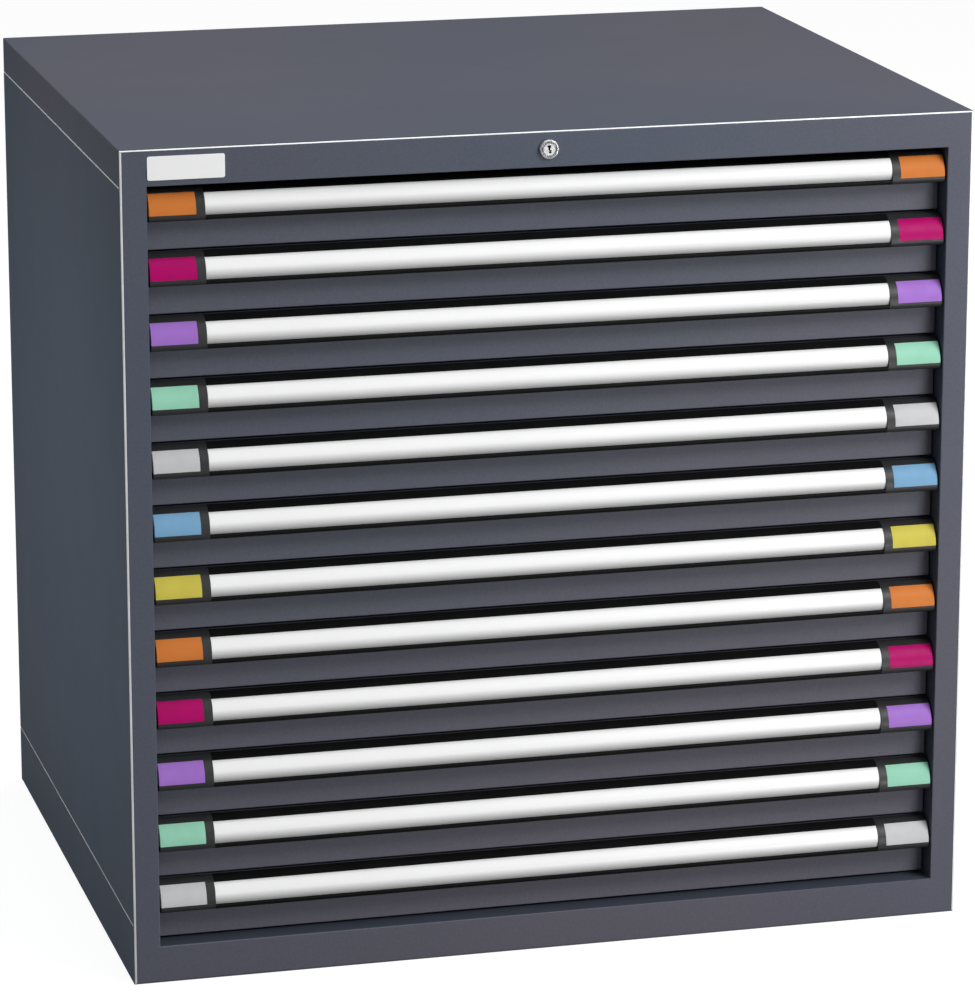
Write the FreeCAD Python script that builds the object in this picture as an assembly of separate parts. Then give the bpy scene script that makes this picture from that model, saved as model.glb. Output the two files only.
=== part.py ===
"""Twelve-drawer steel cabinet for microscope slides and small laboratory parts.

A sheet-steel housing with a front frame holds twelve shallow drawers, one above the other. Each drawer is a folded
tray behind a front panel, runs on telescopic runners, and carries a black grip rail with a white label strip and two
coloured end tabs. A cylinder lock in the top rail turns a rod that drops a bar behind the drawers and holds them shut.

Units are millimetres. +X is the user's right, +Y points into the cabinet and +Z up. The origin is on the floor, at the
centre of the cabinet's outline.
"""

import FreeCAD
import Part

import math
import os

# ---- Housing -------------------------------------------------------------------------------------------------------
cabinet_width = 717.0
cabinet_depth = 572.0       # frame face to back panel
top_rail_height = 30.0      # also the depth of the top cover's skirt
bottom_rail_height = 32.0
base_height = 50.0          # height of the base tray's skirt
stile_width = 22.0
skin = 1.2                  # housing sheet
frame_thickness = 3.0
frame_edge_radius = 2.5
reveal_depth = 26.0         # the frame's inward return round the opening
reveal_wall = 2.0
opening_edge_radius = 0.8
cover_edge_radius = 1.0
seam = 1.6                  # groove between a skirt and the panel below or above it
lip_overlap = 10.0          # how far a panel and its joggled lip lie on each other
lip_reach = 24.0            # how far a lip goes up or down behind a skirt
return_flange = 14.0
post_depth = 30.0
post_wall = 1.5
post_setback = 2.0          # front posts behind the frame's return
post_slot_width = 4.0
post_slot_height = 14.0

# ---- Drawers -------------------------------------------------------------------------------------------------------
drawer_count = 12
drawer_pitch = 52.8
front_gap = 2.0             # between drawer fronts, and below the lowest
front_top_gap = 4.4         # above the top drawer's front
front_side_gap = 1.2        # between a drawer front and the opening's side
front_recess = 19.0         # drawer front behind the frame face
front_depth = 16.0          # the folded front panel, face to rear edge
front_edge_radius = 0.8
rear_space = 76.0           # tray's rear to the back panel's outside
tray_sheet = 1.0
tray_lift = 4.0             # tray bottom above the front panel's lower edge
tray_height = 42.0
rim_height = 8.0            # side wall folded back on itself
strip_count = 6             # low strips on the tray's floor, between the rows of slides
strip_base = 10.0
strip_top = 6.0
strip_height = 2.0

# ---- Runners -------------------------------------------------------------------------------------------------------
runner_space = 29.5         # tray's side to the opening's side
runner_lift = 8.0           # runner above the front panel's lower edge
runner_height = 30.0
runner_wall = 1.5
runner_flange_gap = 2.3     # between the edges of the two channels that face each other
runner_clearance = 0.3
runner_end_gap = 1.0        # closed runners behind the front panel
cabinet_runner_overhang = 20.0  # beyond the tray's rear
middle_runner_overhang = 4.0

# ---- Grip rail, end caps and labels --------------------------------------------------------------------------------
grip_height = 25.5
grip_reach = 17.5
grip_inset = 0.3            # each end short of the drawer front's edge
cap_length = 46.0
cap_front_radius = 21.5
cap_straight = 1.5          # upright stretch below the front curve
cap_corner_radius = 4.0
cap_wall = 2.5
rail_inset = 0.2            # rail surface inside the end cap's surface
label_setback = 0.8         # label behind the rail's lip
label_radius = 14.0
label_thickness = 1.2
label_top_angle = 58.0      # degrees above the horizontal, from the label's own centre
label_bottom_angle = -23.0
label_top_drop = 3.8        # label's upper edge below the grip's top
label_edge_angle = 1.6      # free angle at each edge of the label in its channel
rail_wall = 2.4
rail_lip_height = 3.3
rail_corner_radius = 2.4
rail_bottom_lift = 0.4      # rail's lower edge above the end cap's
rail_flange_wall = 2.0
rail_flange_bottom = 12.0
tab_thickness = 1.1
tab_width = 38.5
tab_top_angle = 52.0
tab_flap_depth = 9.0        # how far the tab wraps round the cap's end
fit_gap = 0.15              # round a label or a tab

# ---- Lock ----------------------------------------------------------------------------------------------------------
lock_x = -6.0
lock_drop = 15.0            # lock axis below the cabinet's top
rosette_radius = 8.0
rosette_proud = 3.0
rosette_chamfer = 0.9
barrel_radius = 6.4
barrel_length = 20.0        # behind the frame face
plug_radius = 5.25
plug_recess = 0.5           # plug face behind the rosette's face
plug_tail = 3.0             # plug beyond the barrel
key_slot_width = 1.8
key_slot_height = 6.4
key_slot_depth = 14.0
nut_across_flats = 18.0
nut_thickness = 4.0
running_gap = 0.05
rod_radius = 3.0
crank_radius = 6.0
crank_thickness = 3.0
crank_gap = 1.0             # crank plate to lock bar
crank_start = 45.0          # pin above the horizontal while the drawers are free
crank_pin_radius = 2.0
pin_clearance = 0.4
rod_bracket_width = 24.0
rod_bracket_edge = 5.0      # bracket below the rod
rod_bracket_thickness = 3.0
rod_bracket_setback = 14.0  # bracket in front of the tray's rear

# ---- Lock bar and catches ------------------------------------------------------------------------------------------
bar_standoff = 22.0         # lock bar behind the trays
bar_width = 20.0
bar_thickness = 3.0
bar_top_edge = 4.0          # metal above the pin's slot
catch_width = 16.0
catch_reach = 17.0
catch_sheet = 1.5
catch_lift = 18.0           # catch plate above the front panel's lower edge
catch_lip = 8.0
catch_foot = 10.0
finger_width = 12.0
finger_gap = 1.0            # free finger above a catch's lip
finger_tip_thickness = 5.0
finger_tip_setback = 7.0    # finger tip behind the tray
finger_arm = 3.0
guide_wall = 2.2
guide_height = 10.0
guide_clearance = 0.3
guided_drawers = (2, 6, 11)

# ---- Rivets of the back panel and wall fixing ----------------------------------------------------------------------
rivet_head_radius = 3.5
rivet_head_height = 1.4
rivet_shank_radius = 1.6
rivet_hole_gap = 0.1
rivet_rows = 5
wall_hole_radius = 4.5
wall_hole_inset_x = 80.0
wall_hole_inset_z = 110.0

# ---- Worked-out places ---------------------------------------------------------------------------------------------
opening_height = drawer_count * drawer_pitch + front_top_gap
cabinet_height = bottom_rail_height + opening_height + top_rail_height
half_width = cabinet_width / 2
front_y = rosette_proud - (rosette_proud + cabinet_depth + rivet_head_height) / 2
back_y = front_y + cabinet_depth
frame_back = front_y + frame_thickness
opening_half = half_width - stile_width
opening_bottom = bottom_rail_height
opening_top = bottom_rail_height + opening_height
skin_inside = half_width - skin
lip_inside = skin_inside - skin
back_inside = back_y - skin
top_inside = cabinet_height - skin
skirt_top = cabinet_height - top_rail_height

face_y = front_y + front_recess
front_half = opening_half - front_side_gap
front_height = drawer_pitch - front_gap
tray_front = face_y + front_depth
tray_back = back_y - rear_space
tray_half = opening_half - runner_space
tray_width_inside = 2 * (tray_half - tray_sheet)

runner_start = tray_front + runner_end_gap
cabinet_runner_end = tray_back + cabinet_runner_overhang
middle_runner_end = tray_back + middle_runner_overhang
middle_half_gap = runner_wall + runner_clearance
post_inside = opening_half - runner_wall + runner_clearance
runner_flange = (post_inside - tray_half - runner_flange_gap) / 2
lock_z = cabinet_height - lock_drop
bar_y = tray_back + bar_standoff
bar_travel = 2 * crank_radius * math.sin(math.radians(crank_start))

grip_half = front_half - grip_inset
rail_half = grip_half - cap_length
cap_arc_centre = (grip_reach - cap_front_radius, cap_corner_radius + cap_straight)
label_centre = (
    grip_reach - rail_inset - label_setback - label_radius,
    grip_height - label_top_drop - label_radius * math.sin(math.radians(label_top_angle)),
)


# ---- Small helpers -------------------------------------------------------------------------------------------------
def box(x0, x1, y0, y1, z0, z1):
    """A block between two corners."""
    return Part.makeBox(x1 - x0, y1 - y0, z1 - z0, FreeCAD.Vector(x0, y0, z0))


def rod_y(x, z, radius, y0, y1):
    """A round bar along Y."""
    return Part.makeCylinder(radius, y1 - y0, FreeCAD.Vector(x, y0, z), FreeCAD.Vector(0, 1, 0))


def fuse(shapes):
    """One clean solid from several that share faces or overlap."""
    return shapes[0].multiFuse(shapes[1:]).removeSplitter()


def mirrored(shape):
    """The same piece for the other side of the cabinet."""
    return shape.mirror(FreeCAD.Vector(0, 0, 0), FreeCAD.Vector(1, 0, 0))


def raised(shapes, z):
    """Copies of pieces modelled at height zero, lifted to z."""
    return [shape.translated(FreeCAD.Vector(0, 0, z)) for shape in shapes]


def save(name, solids):
    """Writes one node's solids to its own file."""
    shape = solids[0] if len(solids) == 1 else Part.makeCompound(solids)
    shape.exportStep(f"parts/{name}.step")


def section_x(path, x0, x1):
    """Sweeps a closed section along X. A section lies in grip coordinates: forward from the drawer face, and up
    from the grip's lower edge. A path is a list of points, and ("arc", middle, end) where it runs round."""
    def place(point):
        return FreeCAD.Vector(x0, face_y - point[0], point[1])

    edges = []
    here = path[0]
    for step in path[1:]:
        if step[0] == "arc":
            edges.append(Part.Arc(place(here), place(step[1]), place(step[2])).toShape())
            here = step[2]
        else:
            edges.append(Part.LineSegment(place(here), place(step)).toShape())
            here = step
    if here != path[0]:
        edges.append(Part.LineSegment(place(here), place(path[0])).toShape())
    return Part.Face(Part.Wire(edges)).extrude(FreeCAD.Vector(x1 - x0, 0, 0))


def on_circle(centre, radius, angle):
    """A point of a circle, the angle in degrees above the forward direction."""
    turn = math.radians(angle)
    return (centre[0] + radius * math.cos(turn), centre[1] + radius * math.sin(turn))


def arc_to(centre, radius, start, end):
    """The step of a path that follows a circle from one angle to another."""
    return ("arc", on_circle(centre, radius, (start + end) / 2), on_circle(centre, radius, end))


def ring_sector(centre, inner, outer, low, high, x0, x1):
    """A curved plate between two radii and two angles, swept along X."""
    path = [
        on_circle(centre, outer, high),
        arc_to(centre, outer, high, low),
        on_circle(centre, inner, low),
        arc_to(centre, inner, low, high),
    ]
    return section_x(path, x0, x1)


def angle_at_height(centre, radius, height):
    """Where a circle reaches a height, in degrees above the forward direction."""
    return math.degrees(math.asin((height - centre[1]) / radius))


def drawer_bottom(number):
    """Lower edge of a drawer's front panel. Drawer 1 is the top one."""
    return opening_bottom + front_gap + (drawer_count - number) * drawer_pitch


# ---- Housing -------------------------------------------------------------------------------------------------------
def front_frame():
    """Face frame with a rounded outer edge, an inward return round the opening and the lock's hole."""
    plate = box(-half_width, half_width, front_y, frame_back, 0, cabinet_height)
    outer_edges = [e for e in plate.Edges if abs(e.BoundBox.YMax - front_y) < 1e-6]
    plate = plate.makeFillet(frame_edge_radius, outer_edges)
    wall = reveal_wall
    sleeve = box(-opening_half - wall, opening_half + wall, front_y + frame_thickness / 2, front_y + reveal_depth,
                 opening_bottom - wall, opening_top + wall)
    opening = box(-opening_half, opening_half, front_y - 1, front_y + reveal_depth + 1, opening_bottom, opening_top)
    frame = fuse([plate, sleeve]).cut(opening)
    inner_edges = [
        e for e in frame.Edges
        if abs(e.BoundBox.YMax - front_y) < 1e-6 and abs(e.BoundBox.XMax) < opening_half + 1e-6
        and e.BoundBox.XMin > -opening_half - 1e-6
    ]
    frame = frame.makeFillet(opening_edge_radius, inner_edges)
    return frame.cut(rod_y(lock_x, lock_z, barrel_radius + fit_gap, front_y - 1, frame_back + 1))


def skirt_pan(z_plate, z_skirt, radius):
    """A cover or base: a flat plate with a skirt on the left, the right and the back. z_skirt is the skirt's edge."""
    low, high = min(z_plate, z_skirt), max(z_plate, z_skirt)
    pan = box(-half_width, half_width, frame_back, back_y, low, high)
    if radius:
        edges = [
            e for e in pan.Edges
            if abs(e.BoundBox.ZMin - z_plate) < 1e-6 and abs(e.BoundBox.ZMax - z_plate) < 1e-6
            and e.BoundBox.YMax > frame_back + 1
        ]
        upright = [e for e in pan.Edges if e.BoundBox.ZLength > 1 and abs(e.BoundBox.YMin - back_y) < 1e-6]
        pan = pan.makeFillet(radius, edges + upright)
    inside_low = low + skin if z_plate == low else low - 1
    inside_high = high - skin if z_plate == high else high + 1
    return pan.cut(box(-skin_inside, skin_inside, frame_back - 1, back_inside, inside_low, inside_high))


def rod_bracket():
    """Hanger under the top cover that carries the lock rod near its rear end."""
    y0 = tray_back - rod_bracket_setback
    half = rod_bracket_width / 2
    low = lock_z - rod_radius - rod_bracket_edge
    plate = box(lock_x - half, lock_x + half, y0, y0 + rod_bracket_thickness, low, top_inside)
    return plate.cut(rod_y(lock_x, lock_z, rod_radius + running_gap, y0 - 1, y0 + rod_bracket_thickness + 1))


def side_panel():
    """Right side skin with joggled lips behind the skirts and a rear return."""
    low, high = base_height + seam, skirt_top - seam
    lip_back = back_inside - skin
    sheet = box(skin_inside, half_width, frame_back, back_inside, low, high)
    upper_lip = box(lip_inside, skin_inside, frame_back, lip_back, high - lip_overlap, skirt_top + lip_reach)
    lower_lip = box(lip_inside, skin_inside, frame_back, lip_back, base_height - lip_reach, low + lip_overlap)
    rear_return = box(skin_inside - return_flange, skin_inside, lip_back, back_inside, low, high)
    panel = fuse([sheet, upper_lip, lower_lip, rear_return])
    for x, z in rivet_places():
        if x > 0:
            panel = panel.cut(rivet_hole(x, z))
    return panel


def back_panel():
    """Back skin with joggled lips, rivet holes and four holes for wall fixing."""
    low, high = base_height + seam, skirt_top - seam
    lip_half = skin_inside - return_flange - 2 * fit_gap
    sheet = box(-half_width, half_width, back_inside, back_y, low, high)
    upper_lip = box(-lip_half, lip_half, back_inside - skin, back_inside, high - lip_overlap, skirt_top + lip_reach)
    lower_lip = box(-lip_half, lip_half, back_inside - skin, back_inside, base_height - lip_reach, low + lip_overlap)
    panel = fuse([sheet, upper_lip, lower_lip])
    for x, z in rivet_places():
        panel = panel.cut(rivet_hole(x, z))
    for x, z in wall_holes():
        panel = panel.cut(rod_y(x, z, wall_hole_radius, back_inside - skin - 1, back_y + 1))
    return panel


def wall_holes():
    """Centres of the four wall fixing holes."""
    x = half_width - wall_hole_inset_x
    return [(sx * x, z) for sx in (-1, 1) for z in (wall_hole_inset_z, cabinet_height - wall_hole_inset_z)]


def rivet_places():
    """Centres of the rivets down both edges of the back panel."""
    x = skin_inside - return_flange / 2
    low, high = base_height + 2 * return_flange, skirt_top - 2 * return_flange
    step = (high - low) / (rivet_rows - 1)
    return [(sx * x, low + row * step) for sx in (-1, 1) for row in range(rivet_rows)]


def rivet_hole(x, z):
    """The hole that a rivet's shank goes through."""
    return rod_y(x, z, rivet_shank_radius + rivet_hole_gap, back_inside - skin - 1, back_y + 1)


def back_rivets():
    """Domed blind rivets that hold the back panel to the side panels."""
    dome_radius = (rivet_head_radius ** 2 + rivet_head_height ** 2) / (2 * rivet_head_height)
    rivets = []
    for x, z in rivet_places():
        ball = Part.makeSphere(dome_radius, FreeCAD.Vector(x, back_y + rivet_head_height - dome_radius, z))
        head = ball.common(rod_y(x, z, rivet_head_radius + 1, back_y, back_y + rivet_head_height + 1))
        shank = rod_y(x, z, rivet_shank_radius, back_inside - 2 * skin, back_y + rivet_head_height / 2)
        rivets.append(fuse([head, shank]))
    return rivets


def runner_posts():
    """Four slotted uprights that the cabinet runners hang on."""
    posts = []
    rear_start = cabinet_runner_end - post_depth
    for y0 in (front_y + reveal_depth + post_setback, rear_start):
        y1 = y0 + post_depth
        post = box(post_inside, lip_inside, y0, y1, skin, top_inside)
        post = post.cut(box(post_inside + post_wall, lip_inside + 1, y0 + post_wall, y1 - post_wall, 0, cabinet_height))
        middle = (y0 + y1) / 2
        slots = [
            box(post_inside - 1, post_inside + post_wall + 1, middle - post_slot_width / 2,
                middle + post_slot_width / 2, base, base + post_slot_height)
            for base in (drawer_bottom(n) + runner_lift + runner_height / 2 - post_slot_height / 2
                         for n in range(1, drawer_count + 1))
        ]
        post = post.cut(Part.makeCompound(slots))
        posts += [post, mirrored(post)]
    return posts


# ---- Runners -------------------------------------------------------------------------------------------------------
def channel(x_web, x_edge, y0, y1):
    """A runner channel at height zero. Its web starts at x_web and its flanges reach x_edge."""
    inward = -1 if x_edge < x_web else 1
    web = box(min(x_web, x_web + inward * runner_wall), max(x_web, x_web + inward * runner_wall), y0, y1,
              0, runner_height)
    low, high = min(x_web, x_edge), max(x_web, x_edge)
    bottom = box(low, high, y0, y1, 0, runner_wall)
    top = box(low, high, y0, y1, runner_height - runner_wall, runner_height)
    return fuse([web, bottom, top])


def cabinet_runner():
    """The right fixed runner member of a drawer, at height zero."""
    return channel(post_inside, post_inside - runner_flange, runner_start, cabinet_runner_end)


def inner_runner():
    """The runner member on the right of a tray, at height zero."""
    return channel(tray_half, tray_half + runner_flange, tray_front, tray_back)


def middle_runner():
    """The I-shaped member between the two, at height zero."""
    y0, y1 = runner_start, middle_runner_end
    x0 = tray_half + runner_wall + runner_clearance
    x1 = post_inside - runner_wall - runner_clearance
    middle = (x0 + x1) / 2
    low, high = middle_half_gap, runner_height - middle_half_gap
    web = box(middle - runner_wall / 2, middle + runner_wall / 2, y0, y1, low, high)
    bottom = box(x0, x1, y0, y1, low, low + runner_wall)
    top = box(x0, x1, y0, y1, high - runner_wall, high)
    return fuse([web, bottom, top])


# ---- Drawer, modelled with its front panel's lower edge at height zero ----------------------------------------------
def front_panel():
    """Folded pan: a face with returns on all four sides, its front edges rounded."""
    panel = box(-front_half, front_half, face_y, tray_front, 0, front_height)
    edges = [e for e in panel.Edges if abs(e.BoundBox.YMax - face_y) < 1e-6]
    panel = panel.makeFillet(front_edge_radius, edges)
    return panel.cut(box(-front_half + skin, front_half - skin, face_y + skin, tray_front + 1,
                         skin, front_height - skin))


def row_strips():
    """The strips that part the rows of slides, from the tray's front wall to its rear wall."""
    floor = tray_lift + tray_sheet
    start, length = tray_front + tray_sheet, tray_back - tray_front - 2 * tray_sheet
    strips = []
    for number in range(1, strip_count + 1):
        x = -tray_width_inside / 2 + number * tray_width_inside / (strip_count + 1)
        outline = [(x - strip_base / 2, floor), (x - strip_top / 2, floor + strip_height),
                   (x + strip_top / 2, floor + strip_height), (x + strip_base / 2, floor),
                   (x - strip_base / 2, floor)]
        wire = Part.makePolygon([FreeCAD.Vector(x, start, z) for x, z in outline])
        strips.append(Part.Face(wire).extrude(FreeCAD.Vector(0, length, 0)))
    return strips


def tray():
    """A floor folded up into a front and a rear wall, a hemmed wall welded to each side, and the strips on the floor."""
    inside = tray_width_inside / 2
    low, top = tray_lift, tray_lift + tray_height
    folded = box(-inside, inside, tray_front, tray_back, low, top)
    folded = folded.cut(box(-inside - 1, inside + 1, tray_front + tray_sheet, tray_back - tray_sheet,
                            low + tray_sheet, top + 1))
    wall = box(inside, tray_half, tray_front, tray_back, low, top)
    hem = box(tray_half, tray_half + tray_sheet, tray_front, tray_back, top - rim_height, top)
    side = fuse([wall, hem])
    return [folded, side, mirrored(side)] + row_strips()


def catch():
    """Hook on the tray's rear that the lock bar's finger holds."""
    half = catch_width / 2
    x0, x1 = lock_x - half, lock_x + half
    lip_y = tray_back + catch_reach - catch_sheet
    plate_top = catch_lift + catch_sheet
    plate = box(x0, x1, tray_back, tray_back + catch_reach, catch_lift, plate_top)
    lip = box(x0, x1, lip_y, tray_back + catch_reach, catch_lift, plate_top + catch_lip)
    foot = box(x0, x1, tray_back, tray_back + catch_sheet, catch_lift - catch_foot, plate_top)
    return fuse([plate, lip, foot])


def grip_rail():
    """Extruded hook section: a channel for the label on its front, and room for the fingers behind it."""
    rail_radius = cap_front_radius - rail_inset
    channel_floor = label_radius - label_thickness - fit_gap
    inner_radius = channel_floor - rail_wall
    rail_top = grip_height - rail_inset
    front = grip_reach - rail_inset
    upper, lower = label_top_angle + label_edge_angle, label_bottom_angle - label_edge_angle
    lip_top = rail_bottom_lift + rail_lip_height
    top_angle = angle_at_height(cap_arc_centre, rail_radius, rail_top)
    channel_top = on_circle(label_centre, label_radius, upper)[1]
    channel_angle = angle_at_height(cap_arc_centre, rail_radius, channel_top)
    corner = (front - rail_corner_radius, rail_bottom_lift + rail_corner_radius)
    inner_back = label_centre[0] - rail_flange_wall
    inner_back_angle = 180 - math.degrees(math.acos(inner_back / inner_radius))
    inner_low = on_circle(label_centre, inner_radius, lower)
    path = [
        (0, rail_top),
        on_circle(cap_arc_centre, rail_radius, top_angle),
        arc_to(cap_arc_centre, rail_radius, top_angle, channel_angle),
        on_circle(label_centre, channel_floor, upper),
        arc_to(label_centre, channel_floor, upper, lower),
        (front, lip_top),
        (front, corner[1]),
        arc_to(corner, rail_corner_radius, 0, -90),
        (inner_low[0], rail_bottom_lift),
        inner_low,
        arc_to(label_centre, inner_radius, lower, inner_back_angle),
        (rail_flange_wall, rail_flange_bottom),
        (0, rail_flange_bottom),
    ]
    return section_x(path, -rail_half, rail_half)


def tab_shape(grow):
    """A coloured tab on the right end cap: a curved plate that wraps round the cap's end. grow makes the room
    that the cap leaves for it."""
    end = grip_half + grow
    low, high = 0 - grow, tab_top_angle + grow
    inner = cap_front_radius - tab_thickness - grow
    plate = ring_sector(cap_arc_centre, inner, cap_front_radius + grow, low, high, grip_half - tab_width - grow, end)
    flap_radius = cap_front_radius - tab_flap_depth - grow
    flap = ring_sector(cap_arc_centre, flap_radius, cap_front_radius + grow, low, high,
                       grip_half - tab_thickness - grow, end)
    return fuse([plate, flap])


def end_cap():
    """Moulded cap on the right end of the grip rail, with a seat for the coloured tab and hollow from below."""
    top_angle = angle_at_height(cap_arc_centre, cap_front_radius, grip_height)
    corner = (grip_reach - cap_corner_radius, cap_corner_radius)
    path = [
        (0, grip_height),
        on_circle(cap_arc_centre, cap_front_radius, top_angle),
        arc_to(cap_arc_centre, cap_front_radius, top_angle, 0),
        (grip_reach, cap_corner_radius),
        arc_to(corner, cap_corner_radius, 0, -90),
        (0, 0),
    ]
    cap = section_x(path, rail_half, grip_half)
    hollow = box(rail_half + cap_wall, grip_half - tab_thickness - cap_wall,
                 face_y - label_centre[0] - label_radius / 2, face_y - cap_wall, -1, rail_flange_bottom)
    return cap.cut(hollow).cut(tab_shape(fit_gap))


def label_strip():
    """Curved white strip in the grip rail's channel."""
    return ring_sector(label_centre, label_radius - label_thickness, label_radius, label_bottom_angle,
                       label_top_angle, -rail_half, rail_half)


# ---- Lock ----------------------------------------------------------------------------------------------------------
def lock_housing():
    """Fixed barrel with its rosette, and the nut behind the frame."""
    rosette = rod_y(lock_x, lock_z, rosette_radius, front_y - rosette_proud, front_y)
    rim = [e for e in rosette.Edges if abs(e.BoundBox.YMax - (front_y - rosette_proud)) < 1e-6]
    rosette = rosette.makeChamfer(rosette_chamfer, rim)
    barrel = rod_y(lock_x, lock_z, barrel_radius, front_y - rosette_proud / 2, front_y + barrel_length)
    bore = rod_y(lock_x, lock_z, plug_radius + running_gap, front_y - rosette_proud - 1, front_y + barrel_length + 1)
    nut_corner = nut_across_flats / math.sqrt(3)
    hexagon = Part.makePolygon([
        FreeCAD.Vector(lock_x + nut_corner * math.cos(math.radians(60 * n)), frame_back,
                       lock_z + nut_corner * math.sin(math.radians(60 * n)))
        for n in range(7)
    ])
    nut = Part.Face(hexagon).extrude(FreeCAD.Vector(0, nut_thickness, 0))
    nut = nut.cut(rod_y(lock_x, lock_z, barrel_radius + fit_gap, frame_back - 1, frame_back + nut_thickness + 1))
    return [fuse([rosette, barrel]).cut(bore), nut]


def lock_plug():
    """Turning plug with its key slot, and the rod with the crank that works the lock bar."""
    plug_front = front_y - rosette_proud + plug_recess
    plug_end = front_y + barrel_length + plug_tail
    plug = rod_y(lock_x, lock_z, plug_radius, plug_front, plug_end)
    plug = plug.cut(box(lock_x - key_slot_width / 2, lock_x + key_slot_width / 2, plug_front - 1,
                        plug_front + key_slot_depth, lock_z - key_slot_height / 2, lock_z + key_slot_height / 2))
    crank_back = bar_y - crank_gap
    crank_front = crank_back - crank_thickness
    pin_x, pin_z = crank_pin_place()
    rod = rod_y(lock_x, lock_z, rod_radius, plug_end, crank_back)
    hub = rod_y(lock_x, lock_z, rod_radius + crank_thickness / 2, crank_front, crank_back)
    eye = rod_y(pin_x, pin_z, crank_pin_radius + crank_thickness / 2, crank_front, crank_back)
    pin = rod_y(pin_x, pin_z, crank_pin_radius, crank_front, bar_y + bar_thickness + crank_gap)
    return [plug, fuse([rod, hub, eye, pin])]


def crank_pin_place():
    """Centre of the crank pin while the drawers are free."""
    turn = math.radians(crank_start)
    return lock_x + crank_radius * math.cos(turn), lock_z + crank_radius * math.sin(turn)


def lock_bar():
    """Flat bar behind the trays with a slot for the crank pin, and one hooked finger for each drawer welded to it."""
    pin_z = crank_pin_place()[1]
    half = bar_width / 2
    slot_half = crank_pin_radius + pin_clearance
    bar = box(lock_x - half, lock_x + half, bar_y, bar_y + bar_thickness, drawer_bottom(drawer_count) + catch_lift,
              pin_z + slot_half + bar_top_edge)
    slot = box(lock_x, lock_x + crank_radius + slot_half, bar_y - 1, bar_y + bar_thickness + 1,
               pin_z - slot_half, pin_z + slot_half)
    solids = [bar.cut(slot)]
    tip_y = tray_back + finger_tip_setback
    tip_low = catch_lift + catch_sheet + catch_lip + finger_gap
    arm_low = catch_lift + catch_sheet + catch_lip + finger_gap / 2 + bar_travel
    x0, x1 = lock_x - finger_width / 2, lock_x + finger_width / 2
    for number in range(1, drawer_count + 1):
        z = drawer_bottom(number)
        arm = box(x0, x1, tip_y, bar_y, z + arm_low, z + arm_low + finger_arm)
        tip = box(x0, x1, tip_y, tip_y + finger_tip_thickness, z + tip_low, z + arm_low + finger_arm)
        solids.append(fuse([arm, tip]))
    return solids


def bar_guides():
    """Stand-off guides on the back panel that the lock bar slides in."""
    guides = []
    half = bar_width / 2 + guide_clearance
    for number in guided_drawers:
        z0 = drawer_bottom(number) + drawer_pitch - guide_height
        z1 = z0 + guide_height
        outer = box(lock_x - half - guide_wall, lock_x + half + guide_wall, bar_y - guide_clearance - guide_wall,
                    back_inside, z0, z1)
        slot = box(lock_x - half, lock_x + half, bar_y - guide_clearance, bar_y + bar_thickness + guide_clearance,
                   z0 - 1, z1 + 1)
        hollow = box(lock_x - half, lock_x + half, bar_y + bar_thickness + guide_clearance + guide_wall,
                     back_inside - guide_wall, z0 - 1, z1 + 1)
        guides.append(outer.cut(slot).cut(hollow))
    return guides


# ---- Assembly ------------------------------------------------------------------------------------------------------
def main():
    os.makedirs("parts", exist_ok=True)
    right_side = side_panel()
    save("front_frame", [front_frame()])
    save("top_cover", [skirt_pan(cabinet_height, skirt_top, cover_edge_radius), rod_bracket()])
    save("base_tray", [skirt_pan(0, base_height, 0)])
    save("side_panel_right", [right_side])
    save("side_panel_left", [mirrored(right_side)])
    save("back_panel", [back_panel()] + bar_guides())
    save("back_rivets", back_rivets())
    save("runner_posts", runner_posts())
    save("lock_housing", lock_housing())
    save("lock_plug", lock_plug())
    save("lock_bar", lock_bar())

    fixed = cabinet_runner()
    fixed_pair = [fixed, mirrored(fixed)]
    middle = middle_runner()
    middle_pair = [middle, mirrored(middle)]
    inner = inner_runner()
    cap = end_cap()
    tab = tab_shape(0)
    drawer_solids = tray() + [front_panel(), catch()] + raised([inner, mirrored(inner)], runner_lift)
    grip_base = front_height - grip_height
    grip_solids = raised([grip_rail(), cap, mirrored(cap)], grip_base)
    label_solids = raised([label_strip(), tab, mirrored(tab)], grip_base)

    cabinet_runners = []
    for number in range(1, drawer_count + 1):
        z = drawer_bottom(number)
        cabinet_runners += raised(fixed_pair, z + runner_lift)
        save(f"drawer_{number:02d}_tray", raised(drawer_solids, z))
        save(f"drawer_{number:02d}_grip", raised(grip_solids, z))
        save(f"drawer_{number:02d}_labels", raised(label_solids, z))
        save(f"drawer_{number:02d}_middle_runners", raised(middle_pair, z + runner_lift))
    save("cabinet_runners", cabinet_runners)


main()
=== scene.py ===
import math

import bmesh
import bpy
from mathutils import Matrix, Vector


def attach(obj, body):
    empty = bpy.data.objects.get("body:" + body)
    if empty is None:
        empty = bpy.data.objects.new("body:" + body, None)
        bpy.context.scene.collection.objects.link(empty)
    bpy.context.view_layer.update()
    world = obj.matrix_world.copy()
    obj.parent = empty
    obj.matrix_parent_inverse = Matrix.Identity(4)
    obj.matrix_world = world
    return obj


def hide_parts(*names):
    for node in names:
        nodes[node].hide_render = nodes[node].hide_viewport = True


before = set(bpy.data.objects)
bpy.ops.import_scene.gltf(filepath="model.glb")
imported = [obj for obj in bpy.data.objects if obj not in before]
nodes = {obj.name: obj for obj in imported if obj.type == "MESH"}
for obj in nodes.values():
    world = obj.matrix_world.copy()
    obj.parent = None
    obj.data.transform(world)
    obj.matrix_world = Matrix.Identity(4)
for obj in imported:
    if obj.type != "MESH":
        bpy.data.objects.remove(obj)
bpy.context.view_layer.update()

mm = 0.001

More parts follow.
